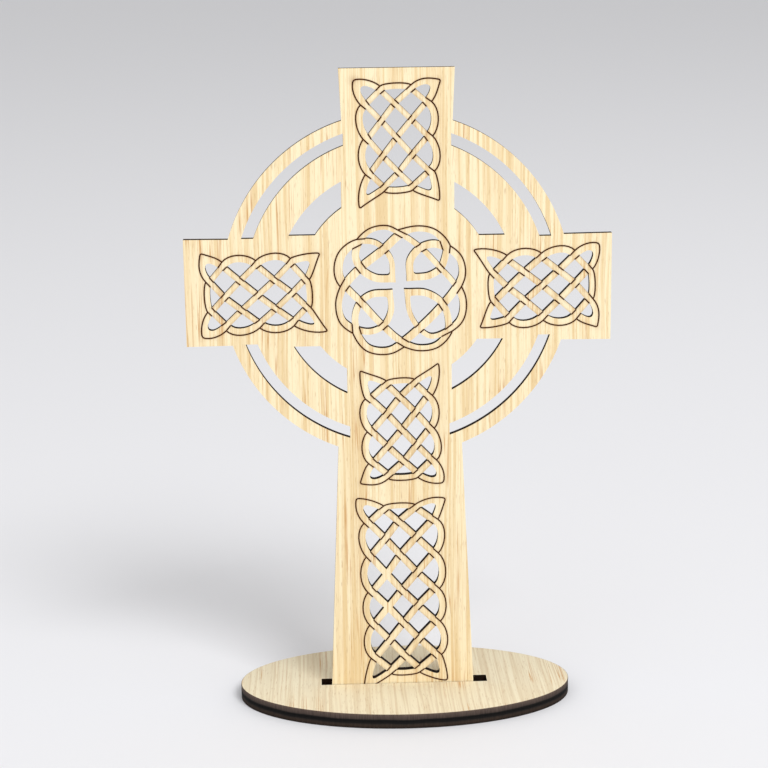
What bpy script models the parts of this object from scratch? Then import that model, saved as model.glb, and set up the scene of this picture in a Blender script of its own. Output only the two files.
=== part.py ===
"""Celtic cross ornament: a cut and scored plywood cross standing in an oval base of two boards.

The cross is one flat plate. Its ring, its five knotwork openings and its slots are cut right through.
X = 0 is the axis of the cross, Y = 0 the middle of the oval, and Z = 0 the underside of the base.
Drawn outlines are complex numbers, across + up * 1j, about the middle of the cross.
"""

import math

import bpy

MM = 0.001

# Boards
PLATE = 3.0 * MM
BASE_BOARD = 2.75 * MM
GAP = 0.3 * MM

# Cross, measured from the middle where the arms meet: half widths are at the ring and at the ends
MIDDLE_HEIGHT = 165.0 * MM
TOP_REACH = 83.5 * MM
ARM_REACH = 81.0 * MM
TOP_HALF_END = 21.6 * MM
TOP_HALF_ROOT = 20.85 * MM
ARM_HALF_END = 20.55 * MM
ARM_HALF_ROOT = 20.4 * MM
STEM_HALF_ROOT = 24.15 * MM
STEM_HALF_FOOT = 28.4 * MM

# Ring, and the two rows of openings in it
RING_RADIUS = 66.3 * MM
RING_CENTRE = complex(-0.75, 1.1) * MM
RIM_WALL = 4.7 * MM
RIM_SLOT = 4.3 * MM
RING_BAND = 11.9 * MM
RING_OPENING = 8.6 * MM
ARC_STEP = math.radians(4.0)

# How far each opening's ends lie outside the arm's side lines: (slot, opening)
TOP_ENDS = {-1: (-0.6 * MM, 0.4 * MM), 1: (-0.7 * MM, 0.4 * MM)}
ARM_UPPER_ENDS = {-1: (0.2 * MM, 1.1 * MM), 1: (-0.6 * MM, 0.1 * MM)}
ARM_LOWER_ENDS = {-1: (-0.35 * MM, 0.8 * MM), 1: (-2.1 * MM, -0.9 * MM)}
STEM_ENDS = {-1: (-4.85 * MM, -4.05 * MM), 1: (-5.05 * MM, -4.15 * MM)}

# Knotwork
TOP_STRAND = 2.05 * MM
LEFT_STRAND = 2.1 * MM
RIGHT_STRAND = 2.35 * MM
LOWER_STRAND = 2.3 * MM
LONG_STRAND = 2.5 * MM
SIDE_BAND = 2.6 * MM
END_BAND = 2.15 * MM
EAR_ROUND = 2.5 * MM
ROSE_LOBE = 2.3 * MM
PETAL_ROUND = 1.2 * MM
ROSE_RADIUS = 24.5 * MM
ROSE_CENTRE = complex(1.2, 0.6) * MM
CURVE_STEPS = 5

# Plain wood left round the knotwork panels, and how far each sits off its arm's middle line
ROSE_TO_TOP_PANEL = 6.8 * MM
ROSE_TO_LEFT_PANEL = 2.7 * MM
ROSE_TO_RIGHT_PANEL = 3.9 * MM
ROSE_TO_LOWER_PANEL = 4.2 * MM
TOP_PANEL_MARGIN = 4.4 * MM
LEFT_PANEL_MARGIN = 6.1 * MM
RIGHT_PANEL_MARGIN = 4.9 * MM
LOWER_PANEL_LENGTH = 47.7 * MM
LONG_PANEL_GAP = 5.8 * MM
LONG_PANEL_FOOT = 2.8 * MM
TOP_PANEL_SIDE = 3.85 * MM
ARM_PANEL_SIDE = 3.4 * MM
STEM_PANEL_SIDE = 7.15 * MM
TOP_PANEL_ASIDE = 0.5 * MM
LEFT_PANEL_ASIDE = -0.5 * MM

# Oval base and the slot for the foot
BASE_LENGTH = 131.1 * MM
BASE_DEPTH = 72.3 * MM
BASE_OFFSET = 1.05 * MM
BASE_POINTS = 72
PLATE_FRONT = -4.43 * MM
SLOT_DEPTH = 6.5 * MM
SLOT_LEFT_ROOM = 4.0 * MM
SLOT_RIGHT_ROOM = 5.3 * MM
FOOT_CLEARANCE = 0.3 * MM

# Short plait, as shares: columns and ears of half the width, rows and ears of the length
SHORT_ROWS = (0.167, 0.278, 0.412, 0.551, 0.686, 0.817, 0.925)
SHORT_COLUMNS = (-0.618, -0.331, 0.015, 0.305, 0.685)
SHORT_LEAN = (-0.0198, -0.0105, -0.0186, -0.0038, -0.0126)
SHORT_EARS = {
    (-1, 0): ((-0.875, 0.0), (0.18, -0.069, 0.097), (0.10, 0.20, 0.056)),
    (1, 0): ((0.893, 0.051), (0.06, 0.027, 0.090), (0.12, -0.188, 0.032)),
    (-1, 1): ((-0.976, 1.0), (0.13, -0.067, -0.081), (0.15, 0.20, 0.021)),
    (1, 1): ((0.933, 0.995), (0.17, -0.061, -0.059), (0.29, -0.205, 0.014)),
}

# Long plait, in the same shares
LONG_ROWS = (0.104, 0.174, 0.262, 0.349, 0.437, 0.521, 0.609, 0.705, 0.792, 0.878, 0.944)
LONG_COLUMNS = (-0.614, -0.265, 0.082, 0.402, 0.810)
LONG_LEAN = (-0.0145, -0.0133, -0.0158, -0.0074, -0.0088)
LONG_EARS = {
    (-1, 0): ((-0.905, 0.0), (0.10, -0.016, 0.046), (0.07, 0.197, 0.018)),
    (1, 0): ((1.052, 0.044), (0.04, 0.004, 0.053), (0.09, -0.135, -0.009)),
    (-1, 1): ((-1.024, 1.0), (0.10, -0.065, -0.068), (0.11, 0.212, 0.004)),
    (1, 1): ((1.024, 0.992), (0.04, -0.066, -0.049), (0.12, -0.288, 0.019)),
}
PLAIT_TILT = 0.034
SIDE_BOW = 0.34
END_BOW = 0.16

# Width of the centre knot's strands in each quarter, where a strand leaves its petal, runs straight, and
# closes the petal opposite: upper right, upper left, lower left and lower right
ROSE_LEAVING = (2.75 * MM, 2.75 * MM, 2.25 * MM, 2.5 * MM)
ROSE_STRAIGHT = (2.0 * MM, 3.0 * MM, 2.5 * MM, 2.85 * MM)
ROSE_CLOSING = (2.5 * MM, 1.95 * MM, 2.5 * MM, 1.85 * MM)

# Stops of the centre knot's strands as shares of its radius, in the upper right, upper left, lower left
# and lower right quarters
ROSE_TIP = (0.131 + 0.165j, -0.139 + 0.153j, -0.186 - 0.071j, 0.078 - 0.065j)
ROSE_PETAL_A = (0.139 + 0.445j, -0.416 + 0.173j, -0.176 - 0.371j, 0.376 - 0.082j)
ROSE_CROSS_1 = (0.298 + 0.629j, -0.637 + 0.329j, -0.296 - 0.592j, 0.639 - 0.265j)
ROSE_TOP = (0.494 + 0.686j, -0.710 + 0.498j, -0.498 - 0.676j, 0.718 - 0.498j)
ROSE_CROSS_3 = (0.690 + 0.624j, -0.653 + 0.735j, -0.714 - 0.637j, 0.718 - 0.678j)
ROSE_LOBE_1 = (0.882 + 0.465j, -0.482 + 0.918j, -0.918 - 0.498j, 0.543 - 0.906j)
ROSE_LOBE_2 = (0.931 + 0.192j, -0.210 + 0.963j, -0.980 - 0.241j, 0.237 - 0.951j)
ROSE_CROSS_4 = (0.849 + 0.006j, -0.004 + 0.849j, -0.878 + 0.063j, 0.006 - 0.853j)
ROSE_CROSS_2 = (0.604 + 0.302j, -0.269 + 0.618j, -0.641 - 0.204j, 0.265 - 0.641j)
ROSE_LOBE_3 = (0.153 + 0.918j, -0.947 + 0.204j, -0.184 - 0.971j, 0.935 - 0.178j)
ROSE_LOBE_4 = (0.510 + 0.873j, -0.902 + 0.543j, -0.533 - 0.931j, 0.890 - 0.527j)
ROSE_PETAL_C = (0.661 + 0.433j, -0.400 + 0.718j, -0.722 - 0.384j, 0.424 - 0.763j)
ROSE_PETAL_B = (0.457 + 0.204j, -0.173 + 0.478j, -0.498 - 0.100j, 0.131 - 0.418j)


def unit(vector):
    return vector / abs(vector)


def cross(first, second):
    return (first.conjugate() * second).imag


def bezier(start, first, second, end, steps):
    """Points of a cubic curve."""
    points = []
    for index in range(steps + 1):
        t = index / steps
        s = 1 - t
        points.append(start * s ** 3 + 3 * first * s * s * t + 3 * second * s * t * t + end * t ** 3)
    return points


def smooth(points, steps):
    """A smooth curve through the points."""
    gaps = [abs(after - before) for before, after in zip(points, points[1:])]
    runs = [(after - before) / gap for before, after, gap in zip(points, points[1:], gaps)]
    ways = [runs[0]]
    for before, after, gap, next_gap in zip(runs, runs[1:], gaps, gaps[1:]):
        ways.append((before * next_gap + after * gap) / (gap + next_gap))
    ways.append(runs[-1])
    curve = [points[0]]
    for index, gap in enumerate(gaps):
        reach = gap / 3
        first = points[index] + ways[index] * reach
        second = points[index + 1] - ways[index + 1] * reach
        curve += bezier(points[index], first, second, points[index + 1], steps)[1:]
    return curve


def beside(path, distance):
    """The path moved to its left."""
    runs = [unit(after - before) for before, after in zip(path, path[1:])]
    moved = [path[0] + 1j * runs[0] * distance]
    for before, after, point in zip(runs, runs[1:], path[1:-1]):
        half_way = unit(before + after)
        moved.append(point + 1j * half_way * distance / (half_way * before.conjugate()).real)
    moved.append(path[-1] + 1j * runs[-1] * distance)
    return moved


def stretched(path, reach):
    """The path with both ends drawn out."""
    start = path[0] + unit(path[0] - path[1]) * reach
    end = path[-1] + unit(path[-1] - path[-2]) * reach
    return [start] + path[1:-1] + [end]


def meeting(start, end, other_start, other_end):
    """Where two segments cross, or None."""
    run = end - start
    other = other_end - other_start
    area = cross(run, other)
    if area == 0:
        return None
    along = cross(other_start - start, other) / area
    along_other = cross(other_start - start, run) / area
    if 0 <= along <= 1 and 0 <= along_other <= 1:
        return start + run * along
    return None


def first_meeting(path, other):
    """The crossing of two paths that lies last on the first and first on the second."""
    for index in range(len(path) - 2, -1, -1):
        for place in range(len(other) - 1):
            point = meeting(path[index], path[index + 1], other[place], other[place + 1])
            if point is not None:
                return index, place, point
    raise ValueError("two sides of a cut do not meet")


def cut_between(sides, rounding=0.0):
    """Outline of the cut between strands: sides are (centre line, inset), with the cut on their left.

    The corner between the last side and the one before it is rounded.
    """
    reach = 2 * max(inset for _, inset in sides)
    lines = [stretched(beside(path, inset), reach) for path, inset in sides]
    meets = [first_meeting(line, lines[(index + 1) % len(lines)]) for index, line in enumerate(lines)]
    outline = []
    for index, line in enumerate(lines):
        outline.append(meets[index - 1][2])
        corner = len(outline) - 1
        outline += line[meets[index - 1][1] + 1:meets[index][0] + 1]
    return rounded_corner(outline, corner, rounding) if rounding else outline


def walked(outline, corner, step, reach):
    """A point on the outline at a distance from a corner, and the number of points passed."""
    here = outline[corner]
    passed = 0
    while True:
        ahead = outline[(corner + step * (passed + 1)) % len(outline)]
        if abs(ahead - here) > reach:
            return here + unit(ahead - here) * reach, passed
        reach -= abs(ahead - here)
        here = ahead
        passed += 1


def rounded_corner(outline, corner, reach, steps=3):
    """The outline with one corner cut back by reach along both sides and bent round."""
    point = outline[corner]
    back, passed_back = walked(outline, corner, -1, reach)
    fore, passed_fore = walked(outline, corner, 1, reach)
    bend = []
    for index in range(steps + 1):
        t = index / steps
        bend.append(back * (1 - t) ** 2 + 2 * point * t * (1 - t) + fore * t * t)
    kept = len(outline) - 1 - passed_back - passed_fore
    return bend + [outline[(corner + 1 + passed_fore + index) % len(outline)] for index in range(kept)]


class Plait:
    """A panel of plaited strands two cells wide, with a pointed ear at each corner.

    Strands cross at columns -2 to 2. Even rows have columns -1 and 1, odd rows -2, 0 and 2.
    """

    def __init__(self, rows, columns, lean, ears, half_width, length, strand):
        self.strand = strand
        self.half_width = half_width
        self.length = length
        self.last = len(rows) - 1
        self.ears = ears
        self.crossings = {}
        for row, share in enumerate(rows):
            for column in (-1, 1) if row % 2 == 0 else (-2, 0, 2):
                across = (columns[column + 2] + lean[column + 2] * row) * half_width
                self.crossings[column, row] = complex(across, share * length + PLAIT_TILT * across)
        self.rim = self.make_rim()

    def notch(self, column, row):
        """Where the outer edges of two strands cross on the rim, with the ways they go on."""
        here = self.crossings[column, row]
        if abs(column) == 2:
            first = unit(here - self.crossings[column // 2, row - 1])
            second = unit(here - self.crossings[column // 2, row + 1])
            half_band = SIDE_BAND / 2
        else:
            inner_row = 1 if row == 0 else row - 1
            first = unit(here - self.crossings[2 * column, inner_row])
            second = unit(here - self.crossings[0, inner_row])
            half_band = END_BAND / 2
        side = 1j if cross(first, second) > 0 else -1j
        edge = here + side * first * half_band
        other_edge = here - side * second * half_band
        point = edge + first * cross(other_edge - edge, second) / cross(first, second)
        return point, first, second

    def lobe(self, start, way_out, end, way_in, bow):
        reach = abs(end - start) * bow
        return bezier(start, start + way_out * reach, end + way_in * reach, end, CURVE_STEPS)

    def ear_sides(self, column, end):
        """The two outer edges of an ear: from the side notch to the tip, and on to the end notch."""
        tip_share, side_pull, end_pull = self.ears[column, end]
        tip = complex(tip_share[0] * self.half_width, tip_share[1] * self.length)
        side_row = self.last - 1 if end else 1
        side_notch, up, down = self.notch(2 * column, side_row)
        end_notch, _, outwards = self.notch(column, self.last * end)
        way_out = up if end else down
        side = bezier(
            side_notch,
            side_notch + way_out * side_pull[0] * self.half_width,
            tip + complex(side_pull[1] * self.half_width, side_pull[2] * self.length),
            tip,
            CURVE_STEPS,
        )
        across = bezier(
            tip,
            tip + complex(end_pull[1] * self.half_width, end_pull[2] * self.length),
            end_notch + outwards * end_pull[0] * self.half_width,
            end_notch,
            CURVE_STEPS,
        )
        return side, across

    def make_rim(self):
        """The panel's outer edges, each running anticlockwise round it except the ears' own."""
        rim = {}
        for end, name in ((0, "bottom"), (self.last, "top")):
            sides = (-1, 1) if end == 0 else (1, -1)
            start, way_out, _ = self.notch(sides[0], end)
            finish, way_in, _ = self.notch(sides[1], end)
            rim[name] = self.lobe(start, way_out, finish, way_in, END_BOW)
        for row in range(2, self.last - 1, 2):
            lower_left, left_up, _ = self.notch(-2, row - 1)
            upper_left, _, left_down = self.notch(-2, row + 1)
            lower_right, right_up, _ = self.notch(2, row - 1)
            upper_right, _, right_down = self.notch(2, row + 1)
            rim["left", row] = self.lobe(upper_left, left_down, lower_left, left_up, SIDE_BOW)
            rim["right", row] = self.lobe(lower_right, right_up, upper_right, right_down, SIDE_BOW)
        for column, end in self.ears:
            rim["ear side", column, end], rim["ear end", column, end] = self.ear_sides(column, end)
        return rim

    def strands(self, *stops):
        """Sides of a cut that follow the strands through the crossings."""
        points = [self.crossings[stop] for stop in stops]
        return [([before, after], self.strand / 2) for before, after in zip(points, points[1:])]

    def cuts(self):
        """Outlines of all the cuts in the panel."""
        cuts = []
        for row in range(1, self.last, 2):
            for column in (-1, 1):
                round_cell = (column - 1, row), (column, row - 1), (column + 1, row), (column, row + 1)
                cuts.append(cut_between(self.strands(*round_cell, round_cell[0])))
        for row in range(2, self.last - 1, 2):
            round_cell = (-1, row), (0, row - 1), (1, row), (0, row + 1)
            cuts.append(cut_between(self.strands(*round_cell, round_cell[0])))
            left = self.strands((-2, row - 1), (-1, row), (-2, row + 1))
            cuts.append(cut_between(left + [(self.rim["left", row], SIDE_BAND)]))
            right = self.strands((2, row + 1), (1, row), (2, row - 1))
            cuts.append(cut_between(right + [(self.rim["right", row], SIDE_BAND)]))
        bottom = self.strands((1, 0), (0, 1), (-1, 0))
        cuts.append(cut_between(bottom + [(self.rim["bottom"], END_BAND)]))
        top = self.strands((-1, self.last), (0, self.last - 1), (1, self.last))
        cuts.append(cut_between(top + [(self.rim["top"], END_BAND)]))
        cuts += [self.ear_cut(column, end) for column, end in self.ears]
        return cuts

    def ear_cut(self, column, end):
        side = self.rim["ear side", column, end]
        across = self.rim["ear end", column, end]
        end_stop = (column, self.last * end)
        side_stop = (2 * column, self.last - 1 if end else 1)
        if (column < 0) == (end == 0):
            sides = self.strands(end_stop, side_stop) + [(side, SIDE_BAND), (across, END_BAND)]
        else:
            sides = self.strands(side_stop, end_stop) + [(across[::-1], END_BAND), (side[::-1], SIDE_BAND)]
        return cut_between(sides, EAR_ROUND)


class Rose:
    """The round centre knot: four strands, each from petal tip to petal tip."""

    # Stops on a strand, as numbers of its points
    TIP, CROSS_1, CROSS_3, CROSS_4 = 0, 2, 4, 7
    NEXT_1, NEXT_2, NEXT_4 = 8, 9, 10
    LAST_3, LAST_2, LAST_TIP = 13, 15, 17

    def __init__(self):
        self.paths = [self.strand(quarter) for quarter in range(4)]

    def strand(self, quarter):
        """The strand that starts at the quarter's petal, crosses the next and ends in the one opposite."""
        straight = (quarter - 1) % 4
        closing = (quarter + 2) % 4
        points = [
            ROSE_TIP[quarter],
            ROSE_PETAL_A[quarter],
            ROSE_CROSS_1[quarter],
            ROSE_TOP[quarter],
            ROSE_CROSS_3[quarter],
            ROSE_LOBE_1[quarter],
            ROSE_LOBE_2[quarter],
            ROSE_CROSS_4[quarter],
            ROSE_CROSS_1[straight],
            ROSE_CROSS_2[straight],
            ROSE_CROSS_4[straight],
            ROSE_LOBE_3[closing],
            ROSE_LOBE_4[closing],
            ROSE_CROSS_3[closing],
            ROSE_PETAL_C[closing],
            ROSE_CROSS_2[closing],
            ROSE_PETAL_B[closing],
            ROSE_TIP[closing],
        ]
        return [ROSE_CENTRE + point * ROSE_RADIUS for point in smooth(points, CURVE_STEPS)]

    def part(self, quarter, first, last):
        """The stretch of a strand between two stops, backwards where the first is the later one."""
        path = self.paths[quarter % 4]
        low, high = sorted((first, last))
        stretch = path[low * CURVE_STEPS:high * CURVE_STEPS + 1]
        if high <= self.CROSS_3:
            width = ROSE_LEAVING[quarter % 4]
        elif low >= self.LAST_3:
            width = ROSE_CLOSING[(quarter + 2) % 4]
        elif self.CROSS_4 <= low < high <= self.NEXT_4:
            width = ROSE_STRAIGHT[(quarter - 1) % 4]
        else:
            width = ROSE_LOBE
        return (stretch if first < last else stretch[::-1]), width / 2

    def cuts(self):
        """Outlines of the four cuts in each quarter, and of the one in the middle."""
        cuts = []
        middle = []
        for quarter in range(4):
            own = quarter
            straight = quarter + 1
            closing = quarter + 2
            cuts.append(cut_between([
                self.part(straight, self.NEXT_2, self.NEXT_1),
                self.part(own, self.CROSS_1, self.TIP),
                self.part(closing, self.LAST_TIP, self.LAST_2),
            ], PETAL_ROUND))
            cuts.append(cut_between([
                self.part(own, self.CROSS_3, self.CROSS_1),
                self.part(straight, self.NEXT_1, self.NEXT_2),
                self.part(closing, self.LAST_2, self.LAST_3),
            ]))
            cuts.append(cut_between([
                self.part(own, self.CROSS_1, self.CROSS_3),
                self.part(closing, self.LAST_3, self.NEXT_4),
                self.part(straight, self.CROSS_4, self.NEXT_1),
            ]))
            cuts.append(cut_between([
                self.part(own, self.CROSS_4, self.CROSS_3),
                self.part(closing, self.LAST_3, self.LAST_2),
                self.part(straight, self.NEXT_2, self.NEXT_4),
            ]))
            middle += [
                self.part(closing, self.LAST_2, self.LAST_TIP),
                self.part(own, self.TIP, self.CROSS_1),
                self.part(straight, self.NEXT_1, self.CROSS_4),
                self.part(closing, self.NEXT_4, self.NEXT_2),
            ]
        return cuts + [cut_between(middle)]


def arc(centre, radius, start, end):
    """Points of an arc between two of its points, the short way round."""
    first = math.atan2((start - centre).imag, (start - centre).real)
    turn = math.remainder(math.atan2((end - centre).imag, (end - centre).real) - first, math.tau)
    steps = max(2, round(abs(turn) / ARC_STEP))
    points = []
    for index in range(steps + 1):
        angle = first + turn * index / steps
        points.append(centre + radius * complex(math.cos(angle), math.sin(angle)))
    return points


def off_circle(start, end, centre, radius):
    """Where the line through two points, followed from the first to the second, leaves a circle."""
    run = unit(end - start)
    along = ((centre - start) * run.conjugate()).real
    aside = abs(start + run * along - centre)
    return start + run * (along + math.sqrt(radius ** 2 - aside ** 2))


def foot_height():
    """Height of the foot's lower edge below the middle of the cross."""
    return FOOT_CLEARANCE - MIDDLE_HEIGHT


def plate_outline():
    """Outer outline of the cross and its ring, anticlockwise from the foot's left corner."""
    foot = foot_height()
    sides = [
        (complex(STEM_HALF_ROOT, -RING_RADIUS), complex(STEM_HALF_FOOT, foot)),
        (complex(RING_RADIUS, -ARM_HALF_ROOT), complex(ARM_REACH, -ARM_HALF_END)),
        (complex(RING_RADIUS, ARM_HALF_ROOT), complex(ARM_REACH, ARM_HALF_END)),
        (complex(TOP_HALF_ROOT, RING_RADIUS), complex(TOP_HALF_END, TOP_REACH)),
        (complex(-TOP_HALF_ROOT, RING_RADIUS), complex(-TOP_HALF_END, TOP_REACH)),
        (complex(-RING_RADIUS, ARM_HALF_ROOT), complex(-ARM_REACH, ARM_HALF_END)),
        (complex(-RING_RADIUS, -ARM_HALF_ROOT), complex(-ARM_REACH, -ARM_HALF_END)),
        (complex(-STEM_HALF_ROOT, -RING_RADIUS), complex(-STEM_HALF_FOOT, foot)),
    ]
    roots = [off_circle(root, end, RING_CENTRE, RING_RADIUS) for root, end in sides]
    outline = []
    for index in range(0, len(sides), 2):
        outline.append(sides[index][1])
        outline += arc(RING_CENTRE, RING_RADIUS, roots[index], roots[index + 1])
        outline.append(sides[index + 1][1])
    return outline


def ring_cuts():
    """The slot and the opening in each quarter of the ring."""
    slot_outer = RING_RADIUS - RIM_WALL
    slot_inner = slot_outer - RIM_SLOT
    opening_outer = slot_inner - RING_BAND
    opening_inner = opening_outer - RING_OPENING
    cuts = []
    for side in (-1, 1):
        for up in (-1, 1):
            post_half = TOP_HALF_ROOT if up > 0 else STEM_HALF_ROOT
            post_ends = TOP_ENDS if up > 0 else STEM_ENDS
            arm_ends = ARM_UPPER_ENDS if up > 0 else ARM_LOWER_ENDS
            rows = ((slot_outer, slot_inner), (opening_outer, opening_inner))
            for row, (outer, inner) in enumerate(rows):
                across = side * (post_half + post_ends[side][row])
                height = up * (ARM_HALF_ROOT + arm_ends[side][row])
                cuts.append(ring_cut(outer, inner, across, height, side, up))
    return cuts


def ring_cut(outer, inner, across, height, side, up):
    """One cut between two arcs, ending on an upright line and on a level one."""
    corners = []
    for radius in (outer, inner):
        rise = math.sqrt(radius ** 2 - (across - RING_CENTRE.real) ** 2)
        reach = math.sqrt(radius ** 2 - (height - RING_CENTRE.imag) ** 2)
        corners.append(complex(across, RING_CENTRE.imag + up * rise))
        corners.append(complex(RING_CENTRE.real + side * reach, height))
    return arc(RING_CENTRE, outer, corners[0], corners[1]) + arc(RING_CENTRE, inner, corners[3], corners[2])


def short_panel(near_end, far_end, half_width, turn, strand, aside=0.0):
    """A short plait from near_end to far_end above the middle, turned about the middle."""
    length = far_end - near_end
    plait = Plait(SHORT_ROWS, SHORT_COLUMNS, SHORT_LEAN, SHORT_EARS, half_width, length, strand)
    return [[(point + complex(aside, near_end)) * turn for point in cut] for cut in plait.cuts()]


def knot_cuts():
    """All the cuts of the centre knot and the five panels."""
    top_half = TOP_HALF_ROOT - TOP_PANEL_SIDE
    arm_half = ARM_HALF_ROOT - ARM_PANEL_SIDE
    stem_half = STEM_HALF_ROOT - STEM_PANEL_SIDE
    lower_start = ROSE_RADIUS + ROSE_TO_LOWER_PANEL
    lower_end = lower_start + LOWER_PANEL_LENGTH
    top_end = TOP_REACH - TOP_PANEL_MARGIN
    left_end = ARM_REACH - LEFT_PANEL_MARGIN
    right_end = ARM_REACH - RIGHT_PANEL_MARGIN
    cuts = Rose().cuts()
    cuts += short_panel(ROSE_RADIUS + ROSE_TO_TOP_PANEL, top_end, top_half, 1, TOP_STRAND, TOP_PANEL_ASIDE)
    left_start = ROSE_RADIUS + ROSE_TO_LEFT_PANEL
    cuts += short_panel(left_start, left_end, arm_half, 1j, LEFT_STRAND, LEFT_PANEL_ASIDE)
    cuts += short_panel(ROSE_RADIUS + ROSE_TO_RIGHT_PANEL, right_end, arm_half, -1j, RIGHT_STRAND)
    cuts += short_panel(lower_start, lower_end, stem_half, -1, LOWER_STRAND)
    long_top = -lower_end - LONG_PANEL_GAP
    long_bottom = foot_height() + LONG_PANEL_FOOT
    long_length = long_top - long_bottom
    plait = Plait(LONG_ROWS, LONG_COLUMNS, LONG_LEAN, LONG_EARS, stem_half, long_length, LONG_STRAND)
    cuts += [[point + 1j * long_bottom for point in cut] for cut in plait.cuts()]
    return cuts


def board(name, outlines, thickness, material, collection):
    """A flat board from closed outlines, in the local XY plane and with its middle at Z = 0."""
    curve = bpy.data.curves.new(name, "CURVE")
    curve.dimensions = "2D"
    curve.fill_mode = "BOTH"
    curve.extrude = thickness / 2
    for outline in outlines:
        spline = curve.splines.new("POLY")
        spline.points.add(len(outline) - 1)
        for point, place in zip(spline.points, outline):
            point.co = (place.real, place.imag, 0.0, 1.0)
        spline.use_cyclic_u = True
    curve.materials.append(material)
    piece = bpy.data.objects.new(name, curve)
    collection.objects.link(piece)
    return piece


def wood(name, colour):
    material = bpy.data.materials.new(name)
    material.use_nodes = True
    shader = material.node_tree.nodes["Principled BSDF"]
    shader.inputs["Base Color"].default_value = (*colour, 1.0)
    shader.inputs["Roughness"].default_value = 0.6
    shader.inputs["Metallic"].default_value = 0.0
    return material


def make_cross(collection):
    """The upright plate, with its drawing turned to face -Y."""
    outlines = [plate_outline()] + ring_cuts() + knot_cuts()
    piece = board("cross_plate", outlines, PLATE, wood("plate_wood", (0.83, 0.68, 0.42)), collection)
    piece.rotation_euler = (math.radians(90), 0, 0)
    piece.location = (0, PLATE_FRONT + PLATE / 2, MIDDLE_HEIGHT)
    return piece


def make_base(collection):
    """Two equal oval boards, one on the other, with the slot for the foot through both."""
    oval = []
    for index in range(BASE_POINTS):
        angle = math.tau * index / BASE_POINTS
        across = BASE_OFFSET + BASE_LENGTH / 2 * math.cos(angle)
        oval.append(complex(across, BASE_DEPTH / 2 * math.sin(angle)))
    left = -STEM_HALF_FOOT - SLOT_LEFT_ROOM
    right = STEM_HALF_FOOT + SLOT_RIGHT_ROOM
    front = PLATE_FRONT - GAP
    back = front + SLOT_DEPTH
    slot = [complex(left, front), complex(right, front), complex(right, back), complex(left, back)]
    material = wood("base_wood", (0.76, 0.61, 0.40))
    for level, name in enumerate(("base_oval_lower", "base_oval_upper")):
        piece = board(name, [oval, slot], BASE_BOARD, material, collection)
        piece.location = (0, 0, BASE_BOARD / 2 + level * (BASE_BOARD + GAP))


def main():
    for item in list(bpy.data.objects):
        bpy.data.objects.remove(item, do_unlink=True)
    collection = bpy.data.collections.new("Celtic cross ornament")
    bpy.context.scene.collection.children.link(collection)
    make_cross(collection)
    make_base(collection)


main()
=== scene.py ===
"""Looks of a small Celtic cross ornament, laser-cut from plywood and standing in an oval base.

The upright cross is drawn again from its named sizes, with the burnt lines scored along every strand
of its knotwork. Drawn outlines are complex numbers, across + up * 1j, about the middle of the cross.
"""

import math

import bpy
import numpy as np
from bpy.props import FloatProperty, FloatVectorProperty, IntProperty, PointerProperty
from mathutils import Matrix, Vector
from mathutils.geometry import delaunay_2d_cdt
from mathutils.kdtree import KDTree


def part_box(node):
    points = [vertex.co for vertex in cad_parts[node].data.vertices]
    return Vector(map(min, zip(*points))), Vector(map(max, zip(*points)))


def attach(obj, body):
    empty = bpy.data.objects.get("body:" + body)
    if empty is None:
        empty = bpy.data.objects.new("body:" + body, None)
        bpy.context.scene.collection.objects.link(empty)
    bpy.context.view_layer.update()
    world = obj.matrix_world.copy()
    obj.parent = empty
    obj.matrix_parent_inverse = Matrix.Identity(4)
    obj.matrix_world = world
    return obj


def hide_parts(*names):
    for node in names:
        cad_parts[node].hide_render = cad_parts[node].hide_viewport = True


bl_info = {
    "name": "Celtic cross ornament",
    "version": (1, 0, 0),
    "blender": (4, 5, 0),
    "location": "3D View > Sidebar > Cross ornament",
    "description": "Builds a scored plywood Celtic cross on its oval base, and a plain stage for it",
    "category": "Add Mesh",
}

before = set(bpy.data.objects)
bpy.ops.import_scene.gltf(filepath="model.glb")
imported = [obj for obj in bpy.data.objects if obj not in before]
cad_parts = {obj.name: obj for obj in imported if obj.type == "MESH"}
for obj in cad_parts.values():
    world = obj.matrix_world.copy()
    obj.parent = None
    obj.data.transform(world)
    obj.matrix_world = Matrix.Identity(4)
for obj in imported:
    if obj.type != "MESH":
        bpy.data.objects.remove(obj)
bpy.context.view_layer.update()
CROSS_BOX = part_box("cross_plate")
LOWER_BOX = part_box("base_oval_lower")
UPPER_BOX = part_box("base_oval_upper")

MM = 0.001

# Cross, measured from the middle where the arms meet: half widths are at the ring and at the ends
MIDDLE_HEIGHT = 165.0 * MM
TOP_REACH = 83.5 * MM
ARM_REACH = 81.0 * MM
TOP_HALF_END = 21.6 * MM
TOP_HALF_ROOT = 20.85 * MM
ARM_HALF_END = 20.55 * MM
ARM_HALF_ROOT = 20.4 * MM
STEM_HALF_ROOT = 24.15 * MM
STEM_HALF_FOOT = 28.4 * MM

# Ring, and the two rows of openings in it
RING_RADIUS = 66.3 * MM
RING_CENTRE = complex(-0.75, 1.1) * MM
RIM_WALL = 4.7 * MM
RIM_SLOT = 4.3 * MM
RING_BAND = 11.9 * MM
RING_OPENING = 8.6 * MM
ARC_STEP = math.radians(1.0)

# How far each opening's ends lie outside the arm's side lines: (slot, opening)
TOP_ENDS = {-1: (-0.6 * MM, 0.4 * MM), 1: (-0.7 * MM, 0.4 * MM)}
ARM_UPPER_ENDS = {-1: (0.2 * MM, 1.1 * MM), 1: (-0.6 * MM, 0.1 * MM)}
ARM_LOWER_ENDS = {-1: (-0.35 * MM, 0.8 * MM), 1: (-2.1 * MM, -0.9 * MM)}
STEM_ENDS = {-1: (-4.85 * MM, -4.05 * MM), 1: (-5.05 * MM, -4.15 * MM)}

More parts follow.
